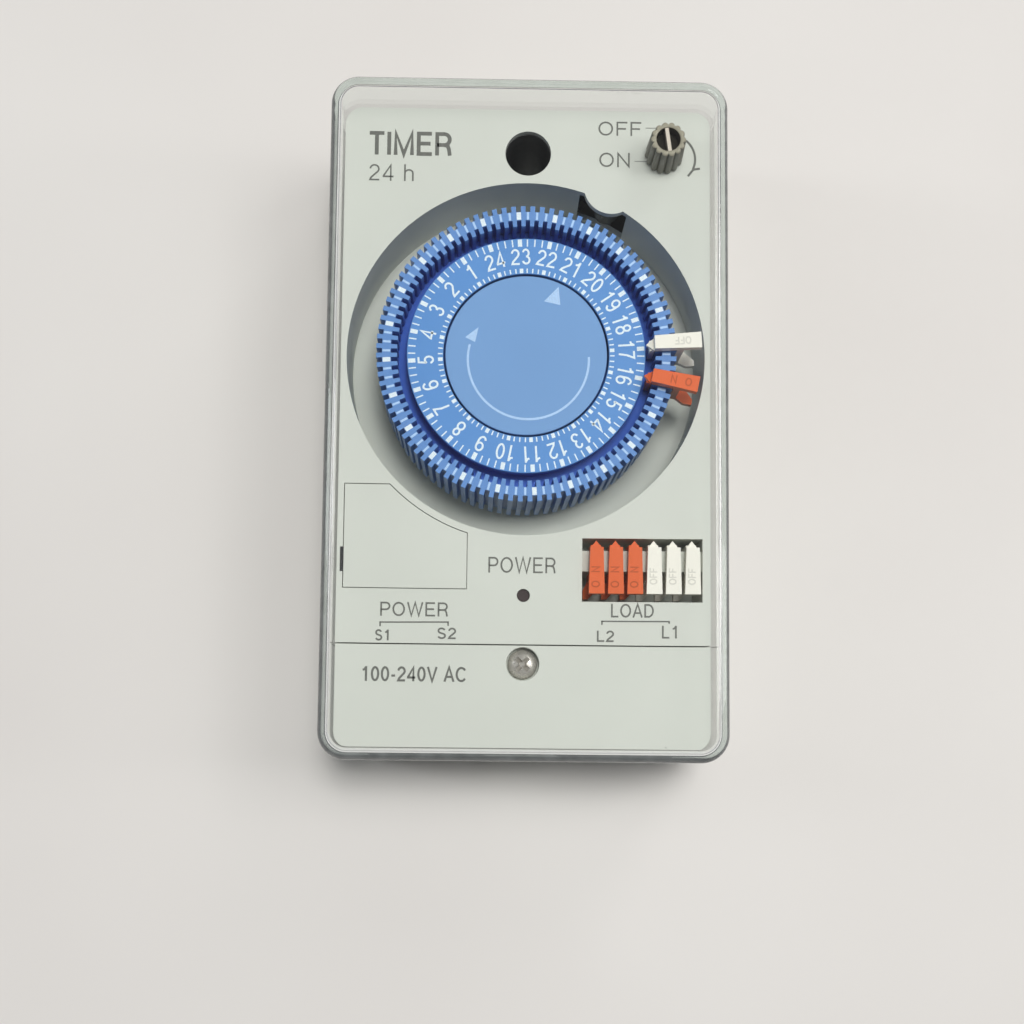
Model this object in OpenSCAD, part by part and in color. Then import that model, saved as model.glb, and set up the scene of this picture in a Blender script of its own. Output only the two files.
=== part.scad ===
// Programmable 24-hour time switch with a clear lift-off cover.
// It lies on its back: X right, Y towards the device's top, Z towards the front.
// The origin is the centre of the back face. All sizes are in millimetres.

/* [Housing] */
// Width of the rear housing and of the clear cover
case_w = 72; // [70:0.5:76]
// Height of the rear housing and of the clear cover
case_h = 123; // [121:0.5:127]
// Outside corner radius of the rear housing and of the clear cover
case_corner = 5; // [4:0.5:7]
// Height of the ledge that carries the cover, above the back face
ledge_z = 27; // [26:0.5:28]
// Thickness of the housing's back plate
back_t = 2.4; // [2:0.2:3]
// Thickness of the housing's side walls
housing_wall = 2.6; // [2.2:0.1:2.8]

/* [Front panel] */
// Width of the panel's face
panel_w = 68.2; // [67:0.1:68.2]
// Height of the panel and the terminal cover together
panel_h = 119.3; // [118:0.1:119.3]
// Corner radius of the panel's face
panel_corner = 3.2; // [2.5:0.1:4]
// Height of the panel's face above the back face
panel_z = 40; // [39.8:0.1:40.2]
// Thickness of the panel's face
panel_t = 2; // [1.8:0.1:2.2]
// Thickness of the panel's side walls
panel_wall = 1.8; // [1.5:0.1:2]
// Y of the seam between the panel and the terminal cover
seam_y = -40.6; // [-41:0.1:-40]

/* [Clear cover] */
// Height of the cover's front above the back face
cover_z = 53; // [52.5:0.1:56]
// Thickness of the cover's side walls
cover_wall = 1.5; // [1.3:0.1:1.5]
// Thickness of the cover's front
cover_front_t = 1.8; // [1.5:0.1:2]
// Radius that softens the cover's front edge
cover_edge = 2; // [1:0.1:2.5]

/* [Dial] */
// Y of the dial's centre
dial_y = 12.5; // [12:0.1:13]
// Radius of the round recess in the panel
recess_r = 33.05; // [32.6:0.05:33.1]
// Depth of the recess below the panel's face
recess_depth = 18; // [17:0.5:18]
// Outside radius of the notched rim that holds the pins
rim_r = 27.4; // [27.2:0.1:27.6]
// Height of the rim's top above the back face
rim_top = 44; // [43.8:0.1:44.2]
// Number of quarter hours, and so of notches, round the rim
notch_count = 96; // [96:1:96]
// Clockwise angle of the first notch from the device's top
notch_angle = 11.2; // [0:0.1:15]
// Outside radius of the hour ring
hour_ring_r = 21.9; // [21.5:0.1:22]
// Radius of the fixed centre disc
centre_disc_r = 14.85; // [14.5:0.05:15.4]

/* [Pins] */
// Clockwise angle of the switch-off pin on the dial
off_pin_angle = 86.2; // [86.2:3.75:101.2]
// Clockwise angle of the switch-on pin on the dial
on_pin_angle = 101.2; // [101.2:3.75:176.2]
// X of the first spare pin
spare_x = 13.3; // [13.1:0.1:13.5]
// Spacing of the spare pins
spare_pitch = 3.5; // [3.45:0.01:3.5]

/* [Manual knob] */
// X of the manual knob
knob_x = 25.3; // [25:0.1:26]
// Y of the manual knob
knob_y = 51.1; // [51:0.1:51.6]
// Largest radius of the manual knob
knob_r = 3.6; // [3:0.1:3.8]
// Height of the knob's top above the back face
knob_top = 49.8; // [47:0.1:50]

/* [Mounting] */
// Y of the upper wall screw
upper_hole_y = 51.25; // [50.5:0.25:52]
// Radius of the well that the upper wall screw is driven through
upper_well_r = 4.25; // [3.5:0.05:4.5]
// Y of the lower wall screw, inside the terminal chamber
lower_hole_y = -54.5; // [-55:0.25:-54]
// Radius of the wall-screw holes in the back plate
wall_screw_r = 2.2; // [1.8:0.1:2.6]

/* [Hidden] */
$fn = 72;
eps = 0.01;

// Housing and panel
wall_in_x = case_w / 2 - housing_wall;
wall_in_y = case_h / 2 - housing_wall;
lip_z = ledge_z - 3;
lip_gap = 0.1;
panel_under = panel_z - panel_t;
panel_in_x = panel_w / 2 - panel_wall;
seam_gap = 0.1;
clearance = 0.2;
shell_inner_r = 1.5;
seam_wall = 1.2;
cup_wall = 1.05;
cup_r = recess_r + cup_wall;
recess_floor = panel_z - recess_depth;
cup_floor_t = 1.6;
cup_bottom = recess_floor - cup_floor_t;
partition_y = seam_y - 1.8;
partition_t = 1.4;
window_in = 6.6;
window_out = 28;
window_skin = 0.6;
led_y = -31.6;
led_hole_r = 1.2;
led_body_r = 1.7;
led_leg_r = 0.3;
led_leg_x = 0.9;

// Screws that hold the front panel, entering from the back
case_screws = [[29.5, 41.5], [-29.5, 41.5], [29.5, -36.8], [-29.5, -36.8]];
case_boss_r = 3.5;
case_head_r = 2.4;
case_shank_r = 1.3;
case_shank_gap = 0.3;
case_head_z = 0.8;
case_seat_t = 0.6;
case_screw_top = panel_under - 3;

// Trip wheel: its points reach into the recess under a round tongue of the panel
trip_angle = 25.6;
trip_orbit = 36.05;
trip_x = trip_orbit * sin(trip_angle);
trip_y = dial_y + trip_orbit * cos(trip_angle);
tongue_r = 5.1;
trip_r = 5;
trip_shaft_r = 1.5;
on_level = 36;
off_level = 32;
level_t = 2;
bearing_gap = 0.05;
trip_tip = 0.5;
trip_waist = 1.9;
trip_head_gap = 1.2;
trip_hub_r = 2.4;
trip_window_z = 24;
trip_window_gap = 0.85;

// Knob and trip wheel are geared one to one
knob_dx = knob_x - trip_x;
knob_dy = knob_y - trip_y;
trip_teeth = 20;
trip_module = norm([knob_dx, knob_dy]) / trip_teeth;
trip_line = atan2(knob_dy, knob_dx);
trip_gear_z = 15.6;
trip_gear_t = 2.4;
knob_shaft_r = 1.6;
spindle_base = 4.2;
spindle_boss_top = 8.4;
spindle_boss_r = 3;
knob_flutes = 14;
knob_flute_r = 0.6;
knob_flute_out = 0.25;
knob_crown = 0.8;
knob_lift = 0.3;
knob_well_r = 2.2;
knob_well_depth = 3.2;
knob_socket_depth = 4.2;
pointer_w = 0.7;
pointer_h = 3;
pointer_turn = 8;

// Dial train: motor pinion, idler wheel and pinion, dial gear
dial_teeth = 60;
idler_pinion_teeth = 12;
dial_module = 2 / 3;
idler_teeth = 48;
motor_teeth = 12;
motor_module = 0.5;
mesh_relief = 0.08;
dial_reach = dial_module * (dial_teeth + idler_pinion_teeth) / 2 + mesh_relief;
idler_dir = -60;
idler_x = dial_reach * cos(idler_dir);
idler_y = dial_y + dial_reach * sin(idler_dir);
motor_reach = motor_module * (idler_teeth + motor_teeth) / 2 + mesh_relief;
motor_dir = 200;
motor_x = idler_x + motor_reach * cos(motor_dir);
motor_y = idler_y + motor_reach * sin(motor_dir);
dial_gear_z = 17.2;
dial_gear_t = 2.2;
hub_r = 6;
hub_bore_r = 4.06;
post_r = 4;
hub_step = 1;
plate_z = 12;
plate_t = 1;
arbor_r = 1;
pillar_r = 2.6;
pillar_screw_r = 1.5;
pillar_spots = [[23, 28], [-23, 28], [23, -28], [-23, -28]];
plate_size = [54, 64];
plate_corner = 3;
plate_head_t = 1.8;
slot_half = 0.35;
cross_w = 0.8;
motor_r = 17;
motor_ear_x = 21;
motor_ear_half = 3.5;
motor_ear_t = 1;
motor_gap = 0.1;
motor_shaft_z = [6, 16];
motor_gear_z = 13.3;
motor_gear_t = 2.6;
idler_wheel_z = 13.6;
idler_wheel_t = 1.8;
idler_pinion_z = 15.3;
idler_pinion_t = 4.3;
idler_hub_r = 2;

// Dial
rim_base = 25;
rim_in_r = 23.6;
notch_deep_out = 1.05;
notch_deep_in = 1.15;
notch_pitch = 360 / notch_count;
notch_half = 0.46;
notch_turn_out = 0.92;
notch_turn_in = 0.966;
drum_floor = 36;
drum_floor_t = 1.6;
ring_top = 42;
ring_t = 1.6;
ring_gap = 0.35;
ring_in_r = centre_disc_r + ring_gap;
ring_seat_w = 2.4;
ring_overhang = 0.4;
disc_drop = 0.15;

// Pins, in the dial's radial direction
pin_rest_gap = 0.05;
pin_seat = rim_top + pin_rest_gap;
pin_bar_z = pin_seat + 0.95;
pin_top = pin_bar_z + 2.2;
pin_tip_r = 21.8;
pin_bar_in = 23.2;
pin_bar_out = 31.7;
pin_key_w = 0.5;
pin_key_gap = 0.12;
pin_leg_gap = 0.15;
pin_leg_z = 37;
pin_leg_w = 1.1;
pin_neck_out = 28.8;

// Spare pin tray
tray_x0 = 10.7;
tray_x1 = 32.7;
tray_y0 = -32.6;
tray_y1 = -21;
tray_floor = 25.2;
tray_wall = 1.2;
spare_count = 6;
spare_drop = 5.7;
spare_y = 0.5;

// Battery compartment and its lid
lid_x0 = -33;
lid_x1 = -10.3;
lid_y0 = -30.6;
lid_y1 = -11.4;
lid_arc_r = cup_r + 0.2;
lid_t = 1.4;
lid_gap = 0.12;
lid_ledge = 1.4;
pocket_floor = 26;
pry_y0 = -27.6;
pry_y1 = -23.1;
battery_x = -22.6;
battery_y = -22.7;
battery_r = 5.8;
battery_cells = 3;
cell_t = 3.3;
lid_tongue_t = 1;
lid_tongue_y0 = -26.5;
lid_tongue_y1 = -23.5;
lid_tongue_h = 3;

// Terminal cover screw
cover_screw_y = -44.05;
cover_screw_r = 1.45;
cover_screw_head_r = 2.75;
cover_screw_seat = 37.2;
cover_boss_top = 35.2;
cover_boss_r = 3.4;
cover_boss_gap = 4.4;
cover_head_t = 1.9;
cover_screw_tip = 26;

// Terminals
terminal_xs = [-26.8, -14.8, 14.8, 26.8];
block_y0 = -51;
block_top = 18;
fin_xs = [8.9, 20.2, 30.7];
fin_t = 1.2;
fin_h = 8.5;
terminal_y = -47.2;
terminal_screw_r = 1.6;
terminal_head_r = 3;
terminal_head_t = 2.2;
plate_half_w = 3.7;
clamp_half = 3.5;
terminal_plate_t = 1.2;
clamp_t = 1;
clamp_gap = 1.8;

// Switch
switch_x0 = 7.4;
switch_x1 = 19.4;
switch_y0 = 48.6;
switch_y1 = 57.8;
switch_top = 13.4;
cam_r = 3.4;
cam_z = 9.2;
cam_t = 2.2;
cam_half_w = 2.2;
plunger_gap = 0.15;
plunger_half_w = 1.2;
plunger_in = 1.5;
detent_flat = 2.4;
detent_r = 2.8;
spring_t = 0.4;
spring_gap = 0.05;
spring_y = [36.6, 38.5, 48];
spring_foot = 2.2;
cam_window = 0.3;

// Circuit board
board_z = 20;
board_t = 1.6;
board_y = -31.4;
board_size = [50, 15];
board_top = board_z + board_t;
film_x = [-24, -11];
film_y = [-38.4, -32];
film_h = 9;
smoothing_at = [-5.5, -34.8];
smoothing_r = 3.1;
smoothing_h = 11;

// ---------------------------------------------------------------- helpers

module rounded_plate(w, h, r) {
  hw = w / 2 - r;
  hh = h / 2 - r;
  union() {
    square([w, h - 2 * r], center = true);
    square([w - 2 * r, h], center = true);
    for (x = [-hw, hw], y = [-hh, hh]) translate([x, y]) circle(r);
  }
}

module slab(x0, x1, y0, y1, z0, z1) {
  translate([x0, y0, z0]) cube([x1 - x0, y1 - y0, z1 - z0]);
}

module rod(x, y, z0, z1, r) {
  translate([x, y, z0]) cylinder(h = z1 - z0, r = r);
}

// The polar point at radius r and angle a
function polar(r, a) = [r * cos(a), r * sin(a)];

// Involute gear: the flank's turn at radius r, then the half width of a tooth there
function base_r(n, m) = n * m / 2 * cos(20);
function roll(n, m, r) = let(a = acos(min(1, base_r(n, m) / r))) tan(a) * 180 / PI - a;
function half_tooth(n, m, r, lash) =
  90 / n - lash / (n * m / 2) * 90 / PI + roll(n, m, n * m / 2) - roll(n, m, r);
function tooth_radii(n, m) =
  let(pitch = n * m / 2, low = max(base_r(n, m), pitch - m), high = pitch + 0.85 * m)
  [pitch - 1.2 * m, low, (low + high) / 2, high];
function gear_points(n, m, lash, turn) = [
  for (i = [0 : n - 1], side = [-1, 1])
    let(radii = tooth_radii(n, m), mid = turn + i * 360 / n)
    for (k = [0 : 3])
      let(r = radii[side < 0 ? k : 3 - k], flank = max(r, base_r(n, m)))
      polar(r, mid + side * half_tooth(n, m, flank, lash))
];

module gear(n, m, lash, turn, z, t) {
  translate([0, 0, z]) linear_extrude(t) polygon(gear_points(n, m, lash, turn));
}

// Edge of the rim, with a notch at every quarter hour; inward notches have a negative depth
function rim_points(r, deep, half) = [
  for (i = [0 : notch_count - 1])
    let(mid = 90 - notch_angle - i * notch_pitch, half_in = half * r / (r - deep))
    for (p = [[r, half], [r - deep, half_in], [r - deep, -half_in], [r, -half]])
      polar(p[0], mid + p[1])
];

// Outline of the battery lid, drawn in by a distance all round
module lid_outline(inset) {
  difference() {
    translate([lid_x0 + inset, lid_y0 + inset])
      square([lid_x1 - lid_x0 - 2 * inset, lid_y1 - lid_y0 - 2 * inset]);
    translate([0, dial_y]) circle(lid_arc_r + inset);
  }
}

// ---------------------------------------------------------------- housing

module rear_housing() {
  color("lightgray") difference() {
    union() {
      difference() {
        linear_extrude(ledge_z) rounded_plate(case_w, case_h, case_corner);
        translate([0, 0, back_t]) linear_extrude(ledge_z)
          rounded_plate(2 * wall_in_x, 2 * wall_in_y, case_corner - housing_wall);
      }
      for (s = case_screws) rod(s[0], s[1], back_t - eps, lip_z, case_boss_r);
      slab(-wall_in_x - eps, wall_in_x + eps, partition_y, partition_y + partition_t,
        back_t - eps, lip_z);
      slab(clearance - panel_in_x, panel_in_x - clearance, partition_y, partition_y + partition_t,
        lip_z - eps, panel_under - clearance);
      rod(0, cover_screw_y, back_t - eps, cover_boss_top, cover_boss_r);
      rod(trip_x, trip_y, back_t - eps, spindle_boss_top, spindle_boss_r);
      rod(knob_x, knob_y, back_t - eps, spindle_boss_top, spindle_boss_r);
    }
    // clearance for the panel's dial cup in the side walls
    rod(0, dial_y, cup_bottom - clearance, ledge_z + 1, cup_r + clearance);
    // room in the partition for the terminal cover's screw boss
    slab(-cover_boss_gap, cover_boss_gap, partition_y - 1, partition_y + partition_t + 1,
      cover_boss_top, panel_z);
    for (side = [0, 1]) mirror([side, 0, 0])
      slab(window_in, window_out, -case_h / 2 - 1, -wall_in_y + window_skin, -1, ledge_z + 1);
    for (s = case_screws) {
      rod(s[0], s[1], -1, back_t + case_seat_t, case_head_r + clearance);
      rod(s[0], s[1], -1, ledge_z, case_shank_r + case_shank_gap);
    }
    rod(0, upper_hole_y, -1, back_t + 1, wall_screw_r);
    rod(0, lower_hole_y, -1, back_t + 1, wall_screw_r);
    rod(0, cover_screw_y, 20, cover_boss_top + 1, cover_screw_r + bearing_gap);
    rod(trip_x, trip_y, spindle_base - clearance, spindle_boss_top + 1, trip_shaft_r + bearing_gap);
    rod(knob_x, knob_y, spindle_base - clearance, spindle_boss_top + 1, knob_shaft_r + bearing_gap);
  }
}

// The part of a rounded plate on the panel's side of the seam
module above_seam(w, h, r, gap) {
  intersection() {
    rounded_plate(w, h, r);
    translate([-case_w, seam_y + gap]) square([2 * case_w, case_h]);
  }
}

module front_panel() {
  color([0.8, 0.82, 0.78]) difference() {
    union() {
      panel_shell();
      rod(0, dial_y, cup_bottom, panel_under + eps, cup_r);
      for (s = case_screws) rod(s[0], s[1], lip_z, panel_under + eps, case_boss_r - 0.9);
      rod(0, upper_hole_y, back_t, panel_under + eps, upper_well_r + 1.2);
      slab(tray_x0 - tray_wall, panel_in_x + eps, tray_y0 - tray_wall, tray_y1 + tray_wall,
        tray_floor - tray_wall, panel_under + eps);
      translate([0, 0, pocket_floor - tray_wall])
        linear_extrude(panel_under - pocket_floor + tray_wall + eps) pocket_outline();
    }
    // dial recess, which leaves the tongue over the trip wheel
    difference() {
      rod(0, dial_y, recess_floor, panel_z + 1, recess_r);
      rod(trip_x, trip_y, panel_under, panel_z + 2, tongue_r);
    }
    rod(0, dial_y, cup_bottom - 1, recess_floor + 1, hub_r + 0.5);
    // window in the cup's wall, through which the pins' feet meet the trip wheel
    rod(trip_x, trip_y, trip_window_z, panel_under, trip_r + trip_window_gap);
    rod(trip_x, trip_y, panel_under - 1, panel_z - 1, trip_shaft_r + bearing_gap);
    rod(0, upper_hole_y, back_t - 1, panel_z + 1, upper_well_r);
    rod(0, led_y, panel_under - 1, panel_z + 1, led_hole_r);
    rod(knob_x, knob_y, panel_under - 1, panel_z + 1, knob_shaft_r + bearing_gap);
    for (s = case_screws) rod(s[0], s[1], lip_z - 1, case_screw_top, case_shank_r);
    difference() {
      slab(tray_x0, tray_x1, tray_y0, tray_y1, tray_floor, panel_z + 1);
      spare_rib();
    }
    translate([0, 0, panel_z - lid_t]) linear_extrude(lid_t + 1) lid_outline(0);
    translate([0, 0, pocket_floor]) linear_extrude(panel_z - pocket_floor) lid_outline(lid_ledge);
    slab(lid_x0 - 0.5, lid_x0 + 0.5, pry_y0, pry_y1, panel_z - lid_t - 0.4, panel_z + 1);
  }
}

// Face, side walls and locating lip of the panel, open towards the terminal chamber
module panel_shell() {
  difference() {
    union() {
      translate([0, 0, ledge_z]) linear_extrude(panel_z - ledge_z)
        above_seam(panel_w, panel_h, panel_corner, seam_gap);
      translate([0, 0, lip_z]) linear_extrude(ledge_z - lip_z + eps)
        above_seam(2 * (wall_in_x - lip_gap), 2 * (wall_in_y - lip_gap), panel_corner, seam_gap);
    }
    translate([0, 0, lip_z - 1]) linear_extrude(panel_under - lip_z + 1)
      above_seam(2 * panel_in_x, panel_h - 2 * panel_wall, shell_inner_r, seam_gap + seam_wall);
  }
}

// Outside of the battery pocket, which runs into the dial cup and the left wall
module pocket_outline() {
  difference() {
    translate([-panel_in_x - eps, lid_y0 - 0.2])
      square([lid_x1 + panel_in_x + 0.2, lid_y1 - lid_y0 + 0.4]);
    translate([0, dial_y]) circle(cup_r - 0.2);
  }
}

// Bar across the tray, notched like the dial's rim, that the spare pins sit astride
module spare_rib() {
  top = rim_top - spare_drop;
  difference() {
    slab(tray_x0 - eps, tray_x1 + eps, spare_y - rim_r, spare_y - rim_in_r, tray_floor - eps, top);
    for (i = [0 : spare_count - 1]) translate([spare_x + i * spare_pitch, 0, 0]) {
      slab(-notch_half, notch_half, spare_y - rim_r - 1, spare_y - rim_r + notch_deep_out,
        tray_floor, top + 1);
      slab(-notch_half, notch_half, spare_y - rim_in_r - notch_deep_in, spare_y - rim_in_r + 1,
        tray_floor, top + 1);
    }
  }
}

// Battery lid, with two tongues that grip the pocket's walls
module battery_lid() {
  color([0.81, 0.83, 0.79]) union() {
    translate([0, 0, panel_z - lid_t]) linear_extrude(lid_t) lid_outline(lid_gap);
    for (x = [lid_x0 + 2.4, lid_x1 - 2.4 - lid_tongue_t]) slab(x, x + lid_tongue_t, lid_tongue_y0,
      lid_tongue_y1, panel_z - lid_t - lid_tongue_h, panel_z - lid_t + eps);
  }
}

module clear_cover() {
  lift = cover_z - cover_edge;
  color([0.85, 0.92, 0.95, 0.35]) difference() {
    hull() {
      translate([0, 0, ledge_z]) linear_extrude(lift - ledge_z)
        rounded_plate(case_w, case_h, case_corner, $fn = 48);
      for (a = [15 : 15 : 90]) translate([0, 0, lift]) linear_extrude(cover_edge * sin(a))
        rounded_plate(case_w - 2 * cover_edge * (1 - cos(a)), case_h - 2 * cover_edge * (1 - cos(a)),
          case_corner - cover_edge * (1 - cos(a)), $fn = 48);
    }
    translate([0, 0, ledge_z - 1]) linear_extrude(cover_z - cover_front_t - ledge_z + 1)
      rounded_plate(case_w - 2 * cover_wall, case_h - 2 * cover_wall, case_corner - cover_wall);
  }
}

module terminal_cover() {
  color([0.8, 0.82, 0.78]) difference() {
    union() {
      difference() {
        translate([0, 0, ledge_z]) linear_extrude(panel_z - ledge_z) below_seam(panel_w, panel_h,
          panel_corner, seam_gap);
        translate([0, 0, ledge_z - 1]) linear_extrude(panel_under - ledge_z + 1)
          below_seam(2 * panel_in_x, panel_h - 2 * panel_wall, shell_inner_r, -1);
      }
      intersection() {
        rod(0, cover_screw_y, cover_boss_top + 0.3, panel_under + eps, cover_screw_head_r + 1.2);
        slab(-5, 5, -case_h / 2, seam_y - seam_gap, cover_boss_top, panel_z);
      }
    }
    rod(0, cover_screw_y, cover_screw_seat, panel_z + 1, cover_screw_head_r + 0.25);
    rod(0, cover_screw_y, cover_boss_top, panel_z, cover_screw_r + 0.1);
  }
}

// The part of a rounded plate on the terminal cover's side of the seam
module below_seam(w, h, r, gap) {
  intersection() {
    rounded_plate(w, h, r);
    translate([-case_w, -case_h]) square([2 * case_w, case_h + seam_y - gap]);
  }
}

module terminal_cover_screw() {
  color("silver") difference() {
    union() {
      rod(0, cover_screw_y, cover_screw_seat, cover_screw_seat + cover_head_t, cover_screw_head_r);
      rod(0, cover_screw_y, cover_screw_tip, cover_screw_seat + eps, cover_screw_r);
    }
    for (turn = [50, 140]) translate([0, cover_screw_y, cover_screw_seat + cover_head_t]) rotate(turn)
      cube([3.8, 0.8, 2.2], center = true);
  }
}

// ---------------------------------------------------------------- dial

module dial_drum() {
  color([0.33, 0.5, 0.8]) translate([0, dial_y, 0]) difference() {
    union() {
      translate([0, 0, rim_base]) linear_extrude(rim_top - rim_base) difference() {
        polygon(rim_points(rim_r, notch_deep_out, notch_turn_out));
        polygon(rim_points(rim_in_r, -notch_deep_in, notch_turn_in));
      }
      rod(0, 0, drum_floor - drum_floor_t, drum_floor, rim_in_r + notch_deep_in + 0.2);
      rod(0, 0, drum_floor - eps, ring_top - ring_t, hour_ring_r - ring_overhang);
      rod(0, 0, dial_gear_z + dial_gear_t, drum_floor, hub_r);
      rod(0, 0, dial_gear_z, drum_floor, hub_r - hub_step);
    }
    rod(0, 0, drum_floor, ring_top, hour_ring_r - ring_seat_w);
    rod(0, 0, 0, panel_z, hub_bore_r);
  }
}

module hour_ring() {
  color([0.36, 0.56, 0.86]) translate([0, dial_y, ring_top - ring_t]) difference() {
    cylinder(h = ring_t, r = hour_ring_r);
    translate([0, 0, -1]) cylinder(h = ring_t + 2, r = ring_in_r);
  }
}

module dial_gear() {
  color("ivory") translate([0, dial_y, 0]) difference() {
    gear(dial_teeth, dial_module, 0.06, idler_dir, dial_gear_z, dial_gear_t);
    rod(0, 0, 0, panel_z, hub_r - hub_step + eps);
  }
}

module centre_post() {
  color("ivory") translate([0, dial_y, 0]) union() {
    rod(0, 0, back_t, ring_top - ring_t, post_r);
    rod(0, 0, back_t, plate_z, post_r + 1.5);
  }
}

module centre_disc() {
  color([0.45, 0.6, 0.82]) rod(0, dial_y, ring_top - ring_t, ring_top - disc_drop, centre_disc_r);
}

// Pin that sits astride the rim. It points along +X, the dial's outward direction, and its foot
// reaches outwards under the bar, at the height of one level of the trip wheel.
module pin(level) {
  web_out = rim_r - notch_deep_out + pin_key_gap;
  web_in = rim_in_r + notch_deep_in - pin_key_gap;
  union() {
    translate([0, 0, pin_bar_z]) linear_extrude(pin_top - pin_bar_z)
      polygon([[pin_bar_in, -1.2], [pin_bar_out, -1.45], [pin_bar_out, 1.45], [pin_bar_in, 1.2]]);
    translate([0, 0, pin_seat]) linear_extrude(pin_bar_z - pin_seat + eps) polygon([[pin_tip_r, 0],
      [pin_bar_in, -pin_leg_w], [pin_neck_out, -pin_leg_w], [pin_neck_out, pin_leg_w],
      [pin_bar_in, pin_leg_w]]);
    slab(22.5, rim_in_r - pin_leg_gap, -0.95, 0.95, pin_leg_z, pin_seat + eps);
    slab(rim_in_r - 0.2, web_in, -pin_key_w / 2, pin_key_w / 2, pin_leg_z, pin_seat + eps);
    slab(rim_r + pin_leg_gap, pin_neck_out, -pin_leg_w, pin_leg_w, level - level_t / 2,
      pin_seat + eps);
    slab(web_out, rim_r + 0.2, -pin_key_w / 2, pin_key_w / 2, level - level_t / 2, pin_seat + eps);
    translate([0, 0, level - level_t / 2 + 0.1]) linear_extrude(level_t - 0.2)
      polygon([[28.7, 1.1], [28.7, -1.1], [30.3, -1.9], [31.9, -1.9], [31.9, -0.9], [29.8, 1.1]]);
  }
}

module dial_pin(angle, level) {
  translate([0, dial_y, 0]) rotate(90 - angle) pin(level);
}

module spare_pin(index, level) {
  translate([spare_x + index * spare_pitch, spare_y, -spare_drop]) rotate(-90) pin(level);
}

module on_pin() { color([0.88, 0.37, 0.22]) dial_pin(on_pin_angle, on_level); }
module off_pin() { color("white") dial_pin(off_pin_angle, off_level); }
module spare_on_pin_1() { color([0.88, 0.37, 0.22]) spare_pin(0, on_level); }
module spare_on_pin_2() { color([0.88, 0.37, 0.22]) spare_pin(1, on_level); }
module spare_on_pin_3() { color([0.88, 0.37, 0.22]) spare_pin(2, on_level); }
module spare_off_pin_1() { color("white") spare_pin(3, off_level); }
module spare_off_pin_2() { color("white") spare_pin(4, off_level); }
module spare_off_pin_3() { color("white") spare_pin(5, off_level); }

// ---------------------------------------------------------------- manual knob and trip wheel

module manual_knob() {
  color([0.7, 0.69, 0.63]) translate([knob_x, knob_y, 0]) difference() {
    rod(0, 0, panel_z + knob_lift, knob_top, knob_r);
    for (i = [0 : knob_flutes - 1]) rotate(i * 360 / knob_flutes)
      rod(knob_r + knob_flute_out, 0, panel_z, knob_top - knob_crown, knob_flute_r);
    rod(0, 0, knob_top - knob_well_depth, knob_top + 1, knob_well_r);
    rod(0, 0, panel_z, knob_top - knob_socket_depth, knob_shaft_r);
  }
}

// White bar across the knob's well, which shows the switch's state
module knob_pointer() {
  color("white") translate([knob_x, knob_y, knob_top - knob_well_depth]) rotate(pointer_turn)
    intersection() {
      translate([-pointer_w / 2, -knob_r, 0]) cube([pointer_w, 2 * knob_r, pointer_h]);
      cylinder(h = pointer_h, r = knob_well_r);
    }
}

module knob_spindle() {
  color("ivory") translate([knob_x, knob_y, 0]) union() {
    rod(0, 0, spindle_base, knob_top - knob_socket_depth, knob_shaft_r);
    gear(trip_teeth, trip_module, 0.06, trip_line + 180 + 180 / trip_teeth, trip_gear_z, trip_gear_t);
    translate([0, 0, cam_z]) linear_extrude(cam_t) intersection() {
      circle(cam_r);
      square([2 * cam_r, 2 * cam_half_w], center = true);
    }
  }
}

// Two-level star on one shaft. An on pin's foot turns the upper points and an off pin's foot
// the lower ones, a quarter turn each time.
module trip_wheel() {
  color("ivory") translate([trip_x, trip_y, 0]) union() {
    rod(0, 0, spindle_base, panel_z - trip_head_gap, trip_shaft_r);
    rod(0, 0, trip_window_z + 0.3, panel_under - 0.5, trip_hub_r);
    gear(trip_teeth, trip_module, 0.06, trip_line, trip_gear_z, trip_gear_t);
    rotate(90 - trip_angle) trip_points(on_level);
    rotate(-trip_angle) trip_points(off_level);
    translate([0, 0, cam_z]) linear_extrude(cam_t) intersection() {
      square(2 * detent_flat, center = true);
      circle(detent_r);
    }
  }
}

module trip_points(level) {
  translate([0, 0, level - level_t / 2]) linear_extrude(level_t)
    polygon([[-trip_r, -trip_tip], [0, -trip_waist], [trip_r, -trip_tip], [trip_r, trip_tip],
      [0, trip_waist], [-trip_r, trip_tip]]);
}

module detent_spring() {
  x = trip_x - detent_r - spring_gap;
  color("silver") union() {
    slab(x - spring_t, x, spring_y[1], spring_y[2], cam_z, cam_z + cam_t);
    slab(x - spring_foot, x, spring_y[0], spring_y[1] + 0.1, back_t, cam_z + cam_t);
  }
}

module switch_case() {
  color([0.15, 0.15, 0.16]) difference() {
    slab(switch_x0, switch_x1, switch_y0, switch_y1, back_t, switch_top);
    slab(switch_x1 - plunger_in - 1, switch_x1 + 1, knob_y - plunger_half_w - 0.1,
      knob_y + plunger_half_w + 0.1, cam_z - cam_window, cam_z + cam_t + cam_window);
  }
}

module switch_plunger() {
  color("crimson") slab(switch_x1 - plunger_in, knob_x - cam_r - plunger_gap, knob_y - plunger_half_w,
    knob_y + plunger_half_w, cam_z - clearance, cam_z + cam_t + clearance);
}

// ---------------------------------------------------------------- motor and gear train

module gear_plate() {
  color("darkgray") difference() {
    translate([0, 0, plate_z]) linear_extrude(plate_t)
      rounded_plate(plate_size[0], plate_size[1], plate_corner);
    rod(0, dial_y, plate_z - 1, plate_z + 2, post_r + bearing_gap);
    rod(motor_x, motor_y, plate_z - 1, plate_z + 2, motor_module * motor_teeth / 2 + 1);
    rod(idler_x, idler_y, plate_z - 1, plate_z + 2, arbor_r);
    for (p = pillar_spots) rod(p[0], p[1], plate_z - 1, plate_z + 2, pillar_screw_r);
  }
}

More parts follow.
